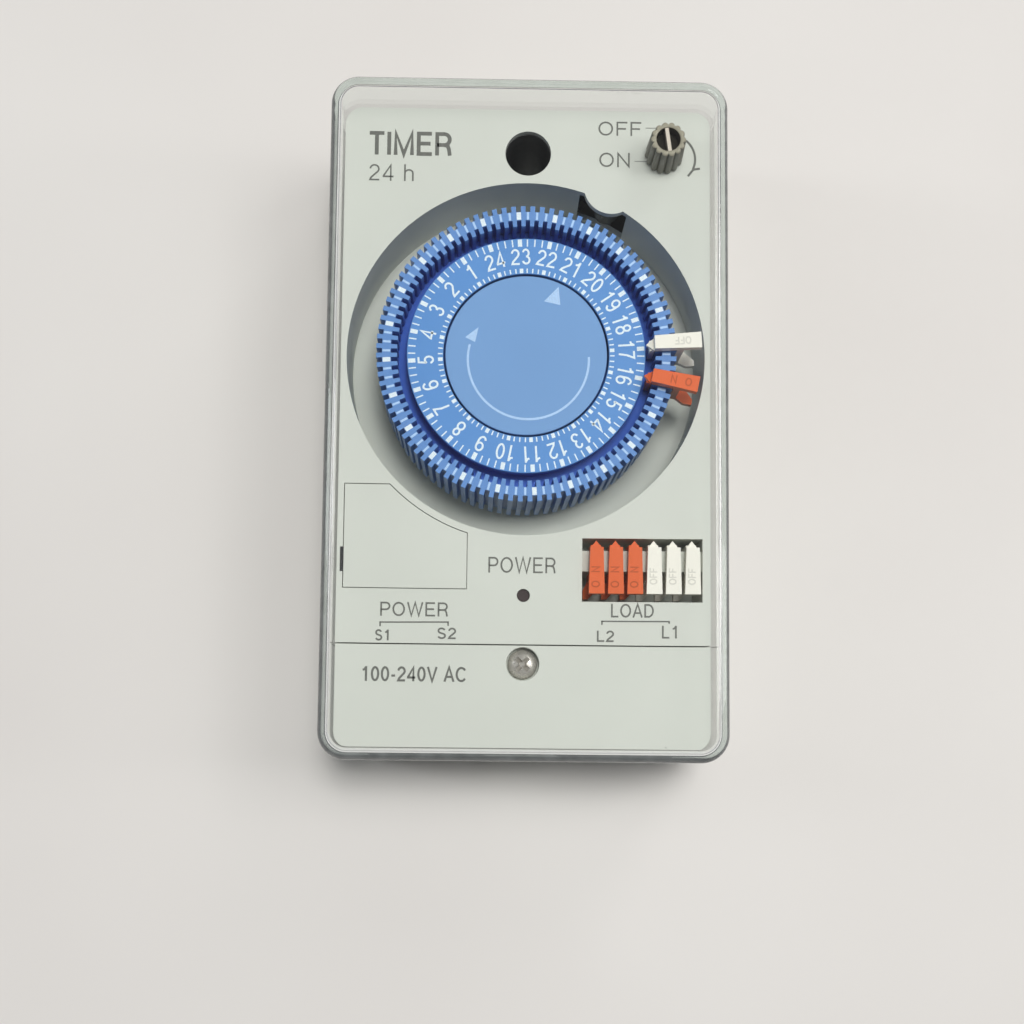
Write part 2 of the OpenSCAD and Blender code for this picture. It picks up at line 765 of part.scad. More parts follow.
module plate_pillars() {
  color("gold") for (p = pillar_spots) difference() {
    rod(p[0], p[1], back_t, plate_z, pillar_r);
    rod(p[0], p[1], plate_z - 6, plate_z + 1, pillar_screw_r);
  }
}

module plate_screws() {
  color("silver") for (p = pillar_spots) difference() {
    union() {
      rod(p[0], p[1], plate_z + plate_t, plate_z + plate_t + plate_head_t, pillar_r);
      rod(p[0], p[1], plate_z - 5.5, plate_z + plate_t + eps, pillar_screw_r);
    }
    slab(p[0] - 3, p[0] + 3, p[1] - slot_half, p[1] + slot_half,
      plate_z + plate_t + plate_head_t / 2, plate_z + 4);
  }
}

module motor_case() {
  color("silver") translate([motor_x, motor_y, 0]) difference() {
    union() {
      rod(0, 0, back_t, plate_z - motor_gap, motor_r);
      slab(-motor_ear_x, motor_ear_x, -motor_ear_half, motor_ear_half,
        plate_z - motor_gap - motor_ear_t, plate_z - motor_gap);
    }
    rod(0, 0, motor_shaft_z[0] - clearance, plate_z + 1, arbor_r + bearing_gap);
  }
}

module motor_pinion() {
  color("gold") translate([motor_x, motor_y, 0]) union() {
    rod(0, 0, motor_shaft_z[0], motor_shaft_z[1], arbor_r);
    gear(motor_teeth, motor_module, 0.05, motor_dir, motor_gear_z, motor_gear_t);
  }
}

module idler_gear() {
  color("ivory") translate([idler_x, idler_y, 0]) difference() {
    union() {
      gear(idler_teeth, motor_module, 0.05, motor_dir + 180 / idler_teeth, idler_wheel_z,
        idler_wheel_t);
      gear(idler_pinion_teeth, dial_module, 0.06, idler_dir + 180 + 180 / idler_pinion_teeth,
        idler_pinion_z, idler_pinion_t);
      rod(0, 0, plate_z + plate_t + 0.1, idler_wheel_z + 0.1, idler_hub_r);
    }
    rod(0, 0, plate_z, cup_bottom, arbor_r + bearing_gap);
  }
}

module idler_arbor() {
  color("silver") rod(idler_x, idler_y, plate_z, cup_bottom - clearance, arbor_r);
}

// ---------------------------------------------------------------- electrics

module circuit_board() {
  color([0.75, 0.6, 0.35]) translate([0, 0, board_z]) linear_extrude(board_t)
    translate([0, board_y]) rounded_plate(board_size[0], board_size[1], 1);
}

module film_capacitor() {
  color("gold") slab(film_x[0], film_x[1], film_y[0], film_y[1], board_top, board_top + film_h);
}

module smoothing_capacitor() {
  color([0.1, 0.1, 0.3])
    rod(smoothing_at[0], smoothing_at[1], board_top, board_top + smoothing_h, smoothing_r);
}

module power_led() {
  color([0.25, 0.1, 0.08]) union() {
    rod(0, led_y, panel_z - 3.2, panel_z - 0.7, led_hole_r - 0.1);
    rod(0, led_y, panel_z - 7, panel_under - 0.1, led_body_r);
    for (side = [-1, 1]) rod(side * led_leg_x, led_y, board_top, panel_z - 6.9, led_leg_r);
  }
}

module backup_battery() {
  color([0.2, 0.45, 0.3]) for (i = [0 : battery_cells - 1])
    rod(battery_x, battery_y, pocket_floor + i * cell_t, pocket_floor + (i + 1) * cell_t + eps,
      battery_r - 0.2 * (i % 2));
}

module terminal_block(side) {
  mirror([side < 0 ? 1 : 0, 0, 0]) color([0.2, 0.2, 0.21]) difference() {
    union() {
      slab(fin_xs[0], fin_xs[2] + fin_t, block_y0, partition_y - seam_gap, back_t, block_top);
      for (x = fin_xs) slab(x, x + fin_t, block_y0, partition_y - seam_gap, block_top - eps,
        block_top + fin_h);
    }
    for (x = [terminal_xs[2], terminal_xs[3]]) rod(x, terminal_y, 8, block_top + 1, terminal_screw_r);
  }
}

module terminal_plate(x) {
  color("gold") difference() {
    slab(x - plate_half_w, x + plate_half_w, block_y0 + 0.5, partition_y - 0.6, block_top,
      block_top + terminal_plate_t);
    rod(x, terminal_y, block_top - 1, block_top + 2, terminal_screw_r);
  }
}

module wire_clamp(x) {
  low = block_top + terminal_plate_t + clamp_gap;
  color("silver") difference() {
    slab(x - clamp_half, x + clamp_half, terminal_y - clamp_half, terminal_y + clamp_half, low,
      low + clamp_t);
    rod(x, terminal_y, low - 1, low + 2, terminal_screw_r);
  }
}

module terminal_block_left() { terminal_block(-1); }
module terminal_block_right() { terminal_block(1); }
module terminal_plate_s1() { terminal_plate(terminal_xs[0]); }
module terminal_plate_s2() { terminal_plate(terminal_xs[1]); }
module terminal_plate_l2() { terminal_plate(terminal_xs[2]); }
module terminal_plate_l1() { terminal_plate(terminal_xs[3]); }
module wire_clamp_s1() { wire_clamp(terminal_xs[0]); }
module wire_clamp_s2() { wire_clamp(terminal_xs[1]); }
module wire_clamp_l2() { wire_clamp(terminal_xs[2]); }
module wire_clamp_l1() { wire_clamp(terminal_xs[3]); }

module terminal_screws() {
  seat = block_top + terminal_plate_t + clamp_gap + clamp_t;
  color("silver") for (x = terminal_xs) difference() {
    union() {
      rod(x, terminal_y, seat, seat + terminal_head_t, terminal_head_r);
      rod(x, terminal_y, 9, seat + eps, terminal_screw_r);
    }
    for (turn = [20, 110]) translate([x, terminal_y, seat + terminal_head_t]) rotate(turn)
      cube([4, cross_w, 2], center = true);
  }
}

module housing_screws() {
  color("silver") for (s = case_screws) difference() {
    union() {
      rod(s[0], s[1], case_head_z, back_t + case_seat_t, case_head_r);
      rod(s[0], s[1], back_t + case_seat_t - eps, case_screw_top, case_shank_r);
    }
    for (turn = [0, 90]) translate([s[0], s[1], case_head_z]) rotate(turn)
      cube([3, 0.7, 2], center = true);
  }
}

// ---------------------------------------------------------------- nodes

rear_housing();
front_panel();
clear_cover();
terminal_cover();
terminal_cover_screw();
battery_lid();
backup_battery();
dial_drum();
hour_ring();
dial_gear();
centre_post();
centre_disc();
on_pin();
off_pin();
spare_on_pin_1();
spare_on_pin_2();
spare_on_pin_3();
spare_off_pin_1();
spare_off_pin_2();
spare_off_pin_3();
manual_knob();
knob_pointer();
knob_spindle();
trip_wheel();
detent_spring();
switch_case();
switch_plunger();
gear_plate();
plate_pillars();
plate_screws();
motor_case();
motor_pinion();
idler_gear();
idler_arbor();
circuit_board();
film_capacitor();
smoothing_capacitor();
power_led();
terminal_block_left();
terminal_block_right();
terminal_plate_s1();
terminal_plate_s2();
terminal_plate_l2();
terminal_plate_l1();
wire_clamp_s1();
wire_clamp_s2();
wire_clamp_l2();
wire_clamp_l1();
terminal_screws();
housing_screws();
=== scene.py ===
"""Looks of the programmable timer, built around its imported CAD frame.

Every piece is in metres in the frame's own axes: X right, Y towards the timer's top, Z out of its
front. Lengths below are in millimetres, and the helpers that make meshes and materials scale them
by MM. Lights, floor and camera are placed in metres."""

import math

import bmesh
import bpy
from mathutils import Matrix, Vector


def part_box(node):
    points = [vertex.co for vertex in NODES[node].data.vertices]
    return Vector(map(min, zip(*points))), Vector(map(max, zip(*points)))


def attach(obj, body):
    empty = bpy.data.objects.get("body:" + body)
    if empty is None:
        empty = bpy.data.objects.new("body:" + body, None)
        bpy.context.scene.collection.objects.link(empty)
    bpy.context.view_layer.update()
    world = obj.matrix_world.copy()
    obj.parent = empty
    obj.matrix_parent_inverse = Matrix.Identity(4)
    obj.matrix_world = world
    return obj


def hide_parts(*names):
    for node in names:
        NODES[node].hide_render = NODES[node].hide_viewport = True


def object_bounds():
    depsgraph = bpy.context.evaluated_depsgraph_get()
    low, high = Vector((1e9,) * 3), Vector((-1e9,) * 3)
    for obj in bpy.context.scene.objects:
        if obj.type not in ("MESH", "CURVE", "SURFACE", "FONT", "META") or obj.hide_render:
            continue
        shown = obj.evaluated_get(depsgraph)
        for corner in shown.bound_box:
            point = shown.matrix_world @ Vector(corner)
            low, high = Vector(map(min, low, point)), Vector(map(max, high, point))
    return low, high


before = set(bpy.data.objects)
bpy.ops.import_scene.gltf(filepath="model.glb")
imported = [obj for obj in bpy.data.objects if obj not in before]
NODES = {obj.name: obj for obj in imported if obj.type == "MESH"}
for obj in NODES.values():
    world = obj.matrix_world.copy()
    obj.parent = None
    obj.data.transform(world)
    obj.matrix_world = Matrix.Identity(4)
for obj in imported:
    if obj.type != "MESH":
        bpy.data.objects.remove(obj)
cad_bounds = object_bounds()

MM = 0.001


def box_mm(node):
    """(lowest corner, highest corner) of a CAD node, in millimetres."""
    low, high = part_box(node)
    return low / MM, high / MM


# ------------------------------------------------------------------ levels, all read from the frame

_, DRUM_HIGH = box_mm("dial_drum")
RING_LOW, RING_HIGH = box_mm("hour_ring")
DISC_LOW, DISC_HIGH = box_mm("centre_disc")
KNOB_LOW, KNOB_HIGH = box_mm("manual_knob")
_, PANEL_HIGH = box_mm("front_panel")
COVER_LOW, COVER_HIGH = box_mm("clear_cover")
SCREW_LOW, SCREW_HIGH = box_mm("terminal_cover_screw")
LID_LOW, _ = box_mm("battery_lid")
DIAL_X = (RING_LOW.x + RING_HIGH.x) / 2
DIAL_Y = (RING_LOW.y + RING_HIGH.y) / 2
RING_R = (RING_HIGH.x - RING_LOW.x) / 2
DISC_R = (DISC_HIGH.x - DISC_LOW.x) / 2
RIM_TOP = DRUM_HIGH.z
RING_TOP = RING_HIGH.z
DISC_TOP = DISC_HIGH.z
PANEL_TOP = PANEL_HIGH.z
KNOB_X = (KNOB_LOW.x + KNOB_HIGH.x) / 2
KNOB_Y = (KNOB_LOW.y + KNOB_HIGH.y) / 2
SCREW_Y = (SCREW_LOW.y + SCREW_HIGH.y) / 2
WELL_Y = 51.25  # the deep well over the upper wall screw
PRY_Y0, PRY_Y1 = -27.6, -23.1  # the notch at the battery lid's edge
PRY_DEPTH = 1.8

INK = 0.03  # thickness of a print
WELD = 0.002  # points nearer than this are one
FLAT = 0.4  # faces that turn by fewer degrees than this are one
NOTCH_COUNT = 96
FIRST_HOUR = 22  # the hour at the first notch
FIRST_ANGLE = 11.2  # its clockwise angle from the timer's top
WEB_IN = 24.75  # the rim's web, between the inner and the outer notches
WEB_OUT = 26.35


# ------------------------------------------------------------------ mesh helpers


def link(obj):
    bpy.context.scene.collection.objects.link(obj)
    return obj


def piece(name, verts, faces, material, body, slot, sharp=35, materials=()):
    """A mesh piece from points in millimetres, smooth but for edges over the sharp angle."""
    mesh = bpy.data.meshes.new(name)
    mesh.from_pydata([Vector(v) * MM for v in verts], [], faces)
    mesh.materials.append(material)
    for extra in materials:
        mesh.materials.append(extra)
    tidy_normals(mesh, sharp)
    obj = link(bpy.data.objects.new(name, mesh))
    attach(obj, body)
    return obj


def tidy_normals(mesh, sharp):
    bm = bmesh.new()
    bm.from_mesh(mesh)
    bmesh.ops.recalc_face_normals(bm, faces=bm.faces)
    bm.to_mesh(mesh)
    bm.free()
    mesh.shade_smooth()
    mesh.set_sharp_from_angle(angle=math.radians(sharp))


def soft_edges(obj, width, segments=2, angle=35):
    """A small rounding on the piece's edges."""
    bevel = obj.modifiers.new("soft_edges", "BEVEL")
    bevel.width = width * MM
    bevel.segments = segments
    bevel.limit_method = "ANGLE"
    bevel.angle_limit = math.radians(angle)
    bevel.harden_normals = True
    return obj


def refined(node, material, body, width, angle=35):
    """A piece with the CAD node's own shape and rounded edges, which stands for the node."""
    mesh = NODES[node].data.copy()
    mesh.name = node + "_finished"
    stored_normals = mesh.attributes.get("custom_normal")
    if stored_normals:
        mesh.attributes.remove(stored_normals)
    bm = bmesh.new()
    bm.from_mesh(mesh)
    bmesh.ops.remove_doubles(bm, verts=bm.verts, dist=WELD * MM)
    bmesh.ops.dissolve_limit(bm, angle_limit=math.radians(FLAT), verts=bm.verts, edges=bm.edges)
    bm.to_mesh(mesh)
    bm.free()
    mesh.materials.clear()
    mesh.materials.append(material)
    mesh.shade_smooth()
    mesh.set_sharp_from_angle(angle=math.radians(angle))
    obj = link(bpy.data.objects.new(node + "_finished", mesh))
    soft_edges(obj, width, angle=angle)
    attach(obj, body)
    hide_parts(node)
    return obj


def outline(half_w, half_h, radius, steps):
    """Points of a rounded rectangle, counter-clockwise."""
    points = []
    for sx, sy, start in ((1, 1, 0), (-1, 1, 90), (-1, -1, 180), (1, -1, 270)):
        for i in range(steps + 1):
            a = math.radians(start + 90 * i / steps)
            points.append(
                (
                    sx * (half_w - radius) + radius * math.cos(a),
                    sy * (half_h - radius) + radius * math.sin(a),
                )
            )
    return points


def loft(rings, closed_start=False, closed_end=False):
    """Faces between rings of equally many points, as (verts, faces)."""
    count = len(rings[0])
    verts = [p for ring in rings for p in ring]
    faces = []
    for k in range(len(rings) - 1):
        for i in range(count):
            j = (i + 1) % count
            faces.append((k * count + i, k * count + j, (k + 1) * count + j, (k + 1) * count + i))
    if closed_start:
        faces.append(tuple(reversed(range(count))))
    if closed_end:
        faces.append(tuple(range((len(rings) - 1) * count, len(rings) * count)))
    return verts, faces


def lathe(profile, x, y, steps=64):
    """A profile of (radius, z) turned about a vertical axis, as (verts, faces)."""
    rings = [
        [
            (
                x + r * math.cos(2 * math.pi * i / steps),
                y + r * math.sin(2 * math.pi * i / steps),
                z,
            )
            for i in range(steps)
        ]
        for r, z in profile
    ]
    return loft(rings, True, True)


def merge(parts):
    """Several (verts, faces) as one."""
    verts, faces = [], []
    for part_verts, part_faces in parts:
        start = len(verts)
        verts += part_verts
        faces += [tuple(start + i for i in face) for face in part_faces]
    return verts, faces


def prism(points, z0, z1):
    """An outline of (x, y) points raised from z0 to z1."""
    return loft([[(x, y, z0) for x, y in points], [(x, y, z1) for x, y in points]], True, True)


def polar(radius, clockwise):
    """The point at a radius and a clockwise angle from the timer's top, about the dial."""
    a = math.radians(clockwise)
    return DIAL_X + radius * math.sin(a), DIAL_Y + radius * math.cos(a)


def radial_mark(r0, r1, clockwise, width, z):
    """A printed bar along the dial's radius."""
    (x0, y0), (x1, y1) = polar(r0, clockwise), polar(r1, clockwise)
    a = math.radians(clockwise)
    dx, dy = width / 2 * math.cos(a), -width / 2 * math.sin(a)
    points = [(x0 - dx, y0 - dy), (x0 + dx, y0 + dy), (x1 + dx, y1 + dy), (x1 - dx, y1 - dy)]
    return prism(points, z, z + INK)


MITER_LIMIT = 2.5


def ribbon(points, width, z, height=INK):
    """A flat band of a width along a path of (x, y), closed where its ends meet.

    A corner is mitred, but by no more than MITER_LIMIT times half the width."""
    path = [Vector(p) for p in points]
    closed = (path[0] - path[-1]).length < 1e-6
    if closed:
        path.pop()
    left, right = [], []
    last = len(path) - 1
    for i, here in enumerate(path):
        before = path[i - 1] if i or closed else here
        after = path[(i + 1) % len(path)] if i < last or closed else here
        first = (here - before).normalized() if before != here else (after - here).normalized()
        second = (after - here).normalized() if after != here else first
        along = (first + second).normalized()
        miter = min(1 / max(along.dot(first), 0.1), MITER_LIMIT) * width / 2
        side = Vector((-along.y, along.x)) * miter
        left.append(here + side)
        right.append(here - side)
    verts = [(p.x, p.y, level) for level in (z, z + height) for p in left + right]
    n = len(path)
    top = 2 * n
    faces = []
    for i in range(n if closed else last):
        j = (i + 1) % n
        faces.append((top + i, top + n + i, top + n + j, top + j))
        faces.append((i, j, n + j, n + i))
        faces.append((i, top + i, top + j, j))
        faces.append((n + i, n + j, top + n + j, top + n + i))
    if not closed:
        faces.append((0, n, top + n, top))
        faces.append((last, top + last, top + n + last, n + last))
    return verts, faces


def arc(x, y, rx, ry, start, end, steps=18):
    """Points of an elliptic arc; angles are counter-clockwise from +X."""
    return [
        (
            x + rx * math.cos(math.radians(start + (end - start) * i / steps)),
            y + ry * math.sin(math.radians(start + (end - start) * i / steps)),
        )
        for i in range(steps + 1)
    ]


def line(x0, y0, x1, y1, width, z):
    """A printed straight line."""
    return ribbon([(x0, y0), (x1, y1)], width, z)


# Plain sans-serif letters: width, then each stroke's centre line, with capitals 1 high
BOWL = [(0.07, 0.94), (0.36, 0.94)] + arc(0.36, 0.7, 0.22, 0.24, 90, -90) + [(0.07, 0.46)]
LETTERS = {
    "0": (0.56, [arc(0.28, 0.5, 0.215, 0.44, 0, 360, 30)]),
    "1": (0.56, [[(0.11, 0.75), (0.24, 0.79), (0.33, 0.93)], [(0.345, 1.0), (0.345, 0.0)]]),
    "2": (
        0.56,
        [arc(0.28, 0.70, 0.215, 0.24, 175, -38) + [(0.12, 0.2), (0.06, 0.055), (0.53, 0.055)]],
    ),
    "3": (
        0.56,
        [
            arc(0.275, 0.72, 0.185, 0.22, 165, -90),
            arc(0.275, 0.28, 0.215, 0.225, 90, -168),
        ],
    ),
    "4": (0.56, [[(0.41, 0.0), (0.41, 0.94), (0.05, 0.3), (0.05, 0.26), (0.55, 0.26)]]),
    "5": (
        0.56,
        [[(0.48, 0.94), (0.14, 0.94), (0.10, 0.50)] + arc(0.275, 0.305, 0.215, 0.25, 135, -162)],
    ),
    "6": (
        0.56,
        [
            arc(0.28, 0.3, 0.215, 0.245, 0, 360, 24),
            arc(0.29, 0.62, 0.22, 0.32, 30, 180) + [(0.065, 0.3)],
        ],
    ),
    "7": (0.56, [[(0.05, 0.94), (0.51, 0.94), (0.31, 0.5), (0.21, 0.0)]]),
    "8": (
        0.56,
        [
            arc(0.28, 0.735, 0.18, 0.205, 0, 360, 24),
            arc(0.28, 0.29, 0.215, 0.235, 0, 360, 24),
        ],
    ),
    "9": (
        0.56,
        [
            arc(0.28, 0.7, 0.215, 0.245, 0, 360, 24),
            arc(0.27, 0.38, 0.22, 0.32, -150, 0) + [(0.495, 0.7)],
        ],
    ),
    "A": (0.68, [[(0.03, 0.0), (0.34, 0.99), (0.65, 0.0)], [(0.14, 0.33), (0.54, 0.33)]]),
    "C": (0.72, [arc(0.38, 0.5, 0.32, 0.445, 38, 322, 28)]),
    "D": (
        0.70,
        [
            [(0.07, 0.94), (0.3, 0.94)]
            + arc(0.3, 0.5, 0.33, 0.44, 90, -90)
            + [(0.07, 0.06), (0.07, 0.94)]
        ],
    ),
    "E": (
        0.62,
        [
            [(0.6, 0.945), (0.07, 0.945), (0.07, 0.055), (0.61, 0.055)],
            [(0.07, 0.51), (0.55, 0.51)],
        ],
    ),
    "F": (0.58, [[(0.58, 0.945), (0.07, 0.945), (0.07, 0.0)], [(0.07, 0.5), (0.51, 0.5)]]),
    "I": (0.14, [[(0.07, 0.0), (0.07, 1.0)]]),
    "L": (0.54, [[(0.07, 1.0), (0.07, 0.055), (0.54, 0.055)]]),
    "M": (0.80, [[(0.07, 0.0), (0.07, 0.96), (0.4, 0.03), (0.73, 0.96), (0.73, 0.0)]]),
    "N": (0.70, [[(0.07, 0.0), (0.07, 0.96), (0.63, 0.04), (0.63, 1.0)]]),
    "O": (0.78, [arc(0.39, 0.5, 0.33, 0.445, 0, 360, 32)]),
    "P": (0.62, [[(0.07, 0.0)] + BOWL]),
    "R": (0.66, [[(0.07, 0.0)] + BOWL, [(0.34, 0.46), (0.5, 0.42), (0.55, 0.28), (0.59, 0.0)]]),
    "S": (0.64, [arc(0.31, 0.73, 0.22, 0.215, 15, 262) + arc(0.32, 0.27, 0.24, 0.215, 82, -165)]),
    "T": (0.60, [[(0.0, 0.945), (0.6, 0.945)], [(0.3, 0.945), (0.3, 0.0)]]),
    "V": (0.66, [[(0.03, 1.0), (0.33, 0.02), (0.63, 1.0)]]),
    "W": (0.96, [[(0.03, 1.0), (0.255, 0.03), (0.48, 0.98), (0.705, 0.03), (0.93, 1.0)]]),
    "h": (
        0.52,
        [[(0.06, 0.0), (0.06, 1.0)], arc(0.26, 0.47, 0.2, 0.2, 180, 0, 12) + [(0.46, 0.0)]],
    ),
    "-": (0.32, [[(0.03, 0.38), (0.29, 0.38)]]),
    " ": (0.24, []),
}
LETTER_GAP = 0.13


def stroke_step(index):
    """Extra height of a stroke, so that strokes that cross don't share a surface."""
    return 0.004 * (index % 3)


def text_strokes(text):
    """(whole width, centre lines) of a text with capitals 1 high."""
    strokes, x = [], 0
    for letter in text:
        width, paths = LETTERS[letter]
        strokes += [[(x + px, py) for px, py in path] for path in paths]
        x += width + LETTER_GAP
    return x - LETTER_GAP, strokes


def text_box(text, x0, y0, x1, y1, z, stroke=0.32):
    """A printed text that fills a box."""
    width, strokes = text_strokes(text)
    kx, ky = (x1 - x0) / width, y1 - y0
    parts = []
    for i, path in enumerate(strokes):
        flat = [(x0 + kx * px, y0 + ky * py) for px, py in path]
        parts.append(ribbon(flat, stroke, z, INK + stroke_step(i)))
    return merge(parts)


def text_turned(text, x, y, turn, cap, z, stroke, height=INK, squeeze=1.0):
    """A text with capitals cap high, centred on (x, y) and turned counter-clockwise.

    A squeeze under 1 makes it narrower."""
    width, strokes = text_strokes(text)
    c, s = math.cos(math.radians(turn)), math.sin(math.radians(turn))
    parts = []
    for i, path in enumerate(strokes):
        flat = [((px - width / 2) * cap * squeeze, (py - 0.5) * cap) for px, py in path]
        turned = [(x + c * u - s * v, y + s * u + c * v) for u, v in flat]
        parts.append(ribbon(turned, stroke, z, height + stroke_step(i)))
    return merge(parts)


# ------------------------------------------------------------------ materials


class Shader:
    """A material's node tree, with the few kinds of node that are used here."""

    def __init__(self, name):
        self.material = bpy.data.materials.new(name)
        self.material.use_nodes = True
        self.tree = self.material.node_tree
        self.tree.nodes.clear()
        self.output = self.add("ShaderNodeOutputMaterial")
        self.place = self.add("ShaderNodeTexCoord").outputs["Object"]

    def add(self, kind, **settings):
        node = self.tree.nodes.new(kind)
        for key, value in settings.items():
            setattr(node, key, value)
        return node

    def join(self, source, target):
        self.tree.links.new(source, target)

    def stretched(self, scale):
        mapping = self.add("ShaderNodeMapping")
        mapping.inputs["Scale"].default_value = scale
        self.join(self.place, mapping.inputs["Vector"])
        return mapping.outputs["Vector"]

    def noise(self, scale, detail=2.0, rough=0.5, place=None):
        node = self.add("ShaderNodeTexNoise")
        node.inputs["Scale"].default_value = scale
        node.inputs["Detail"].default_value = detail
        node.inputs["Roughness"].default_value = rough
        self.join(place or self.place, node.inputs["Vector"])
        return node.outputs["Fac"]

    def cells(self, scale):
        node = self.add("ShaderNodeTexVoronoi")
        node.inputs["Scale"].default_value = scale
        self.join(self.place, node.inputs["Vector"])
        return node.outputs["Distance"]

    def ramp(self, value, low, high, out_low=0.0, out_high=1.0):
        node = self.add("ShaderNodeMapRange")
        for key, number in zip(
            ("From Min", "From Max", "To Min", "To Max"), (low, high, out_low, out_high)
        ):
            node.inputs[key].default_value = number
        self.join(value, node.inputs["Value"])
        return node.outputs["Result"]

    def math(self, operation, a, b):
        node = self.add("ShaderNodeMath", operation=operation)
        for i, value in enumerate((a, b)):
            if isinstance(value, (int, float)):
                node.inputs[i].default_value = value
            else:
                self.join(value, node.inputs[i])
        return node.outputs[0]

    def blend(self, factor, first, second):
        node = self.add("ShaderNodeMix", data_type="RGBA")
        self.join(factor, node.inputs["Factor"])
        for key, value in ((6, first), (7, second)):
            if isinstance(value, tuple):
                node.inputs[key].default_value = (*value, 1)
            else:
                self.join(value, node.inputs[key])
        return node.outputs[2]

    def bump(self, height, strength, distance, after=None):
        node = self.add("ShaderNodeBump")
        node.inputs["Strength"].default_value = strength
        node.inputs["Distance"].default_value = distance * MM
        self.join(height, node.inputs["Height"])
        if after is not None:
            self.join(after, node.inputs["Normal"])
        return node.outputs["Normal"]

    def principled(self, colour, rough, normal=None, **values):
        node = self.add("ShaderNodeBsdfPrincipled")
        self.join(colour, node.inputs["Base Color"])
        self.join(rough, node.inputs["Roughness"])
        if normal is not None:
            self.join(normal, node.inputs["Normal"])
        for key, value in values.items():
            node.inputs[key.replace("_", " ")].default_value = value
        return node.outputs["BSDF"]

    def groove_mask(self, radius, low, high):
        """Mask of the painted shade in a groove: 1 inside a radius about the dial and under the low
        level, 0 from the high level up.
        """
        split = self.add("ShaderNodeSeparateXYZ")
        self.join(self.place, split.inputs[0])
        x = split.outputs["X"]
        y = self.math("SUBTRACT", split.outputs["Y"], DIAL_Y * MM)
        away = self.math("ADD", self.math("MULTIPLY", x, x), self.math("MULTIPLY", y, y))
        inside = self.ramp(away, (radius * MM) ** 2, ((radius + 0.3) * MM) ** 2, 1.0, 0.0)
        depth_shade = self.ramp(split.outputs["Z"], low * MM, high * MM, 1.0, 0.0)
        return self.math("MULTIPLY", inside, depth_shade)

    def finish(self, shader):
        self.join(shader, self.output.inputs["Surface"])
        return self.material


def srgb(r, g, b):
    """Linear colour from 0-255 screen values."""
    return tuple(
        c / 255 / 12.92 if c / 255 <= 0.04045 else ((c / 255 + 0.055) / 1.055) ** 2.4
        for c in (r, g, b)
    )


def shade(colour, factor):
    return tuple(min(1.0, c * factor) for c in colour)


def moulded(
    name,
    colour,
    rough=0.45,
    grain=1500,
    bump=0.25,
    depth=0.012,
    vary=0.05,
    specks=0.0,
    groove=None,
):
    """Moulded plastic: slow colour drift, spark-eroded grain, worn patches, dust specks and painted
    shade in a groove.

    A groove is (radius, low level, high level) of a hollow about the dial, which is painted darker
    there as painted shade."""
    s = Shader(name)
    drift = s.ramp(s.noise(45, 3), 0.3, 0.7)
    tone = s.blend(drift, shade(colour, 1 - vary), shade(colour, 1 + vary))
    fine = s.noise(grain, 2, 0.6)
    tone = s.blend(s.ramp(fine, 0.25, 0.75, 0.0, 0.35), tone, shade(colour, 1 - 2 * vary))
    if specks:
        near = s.ramp(s.cells(230), 0.02, 0.045, 1.0, 0.0)
        pick = s.math("GREATER_THAN", s.noise(160, 1), 0.62)
        dust = s.math("MULTIPLY", s.math("MULTIPLY", near, pick), specks)
        tone = s.blend(dust, tone, shade(colour, 0.35))
    # Painted shade: the groove is darkened with depth towards a bluer tint, where the rim shades
    # it.
    if groove:
        depth_shade = tuple(c * k for c, k in zip(colour, GROOVE_SHADE_TINT))
        tone = s.blend(s.groove_mask(*groove), tone, depth_shade)
    worn = s.noise(170, 4, 0.65)
    roughness = s.ramp(worn, 0.3, 0.7, rough - 0.07, rough + 0.09)
    normal = s.bump(fine, bump, depth)
    normal = s.bump(s.noise(120, 2), bump * 0.3, 0.03, normal)
    return s.finish(s.principled(tone, roughness, normal))


def ink(name, colour, rough=0.5):
    """Pad-printed ink: slightly uneven cover."""
    s = Shader(name)
    tone = s.blend(s.ramp(s.noise(2600, 2, 0.7), 0.3, 0.75), colour, shade(colour, 1.18))
    return s.finish(s.principled(tone, s.ramp(s.noise(900), 0.3, 0.7, rough - 0.05, rough + 0.08)))


def metal(name, colour, rough, stretch, share=1.0):
    """Plated metal with fine lines and a few dull spots. Under a share of 1 it also scatters."""
    s = Shader(name)
    lines = s.noise(1.0, 3, 0.6, s.stretched(stretch))
    dull = s.noise(420, 3)
    tone = s.blend(s.ramp(dull, 0.35, 0.75), colour, shade(colour, 0.72))
    lined = s.ramp(lines, 0.3, 0.7, rough - 0.08, rough + 0.1)
    roughness = s.math("ADD", lined, s.ramp(dull, 0.5, 0.8, 0.0, 0.15))
    return s.finish(s.principled(tone, roughness, s.bump(lines, 0.4, 0.006), Metallic=share))


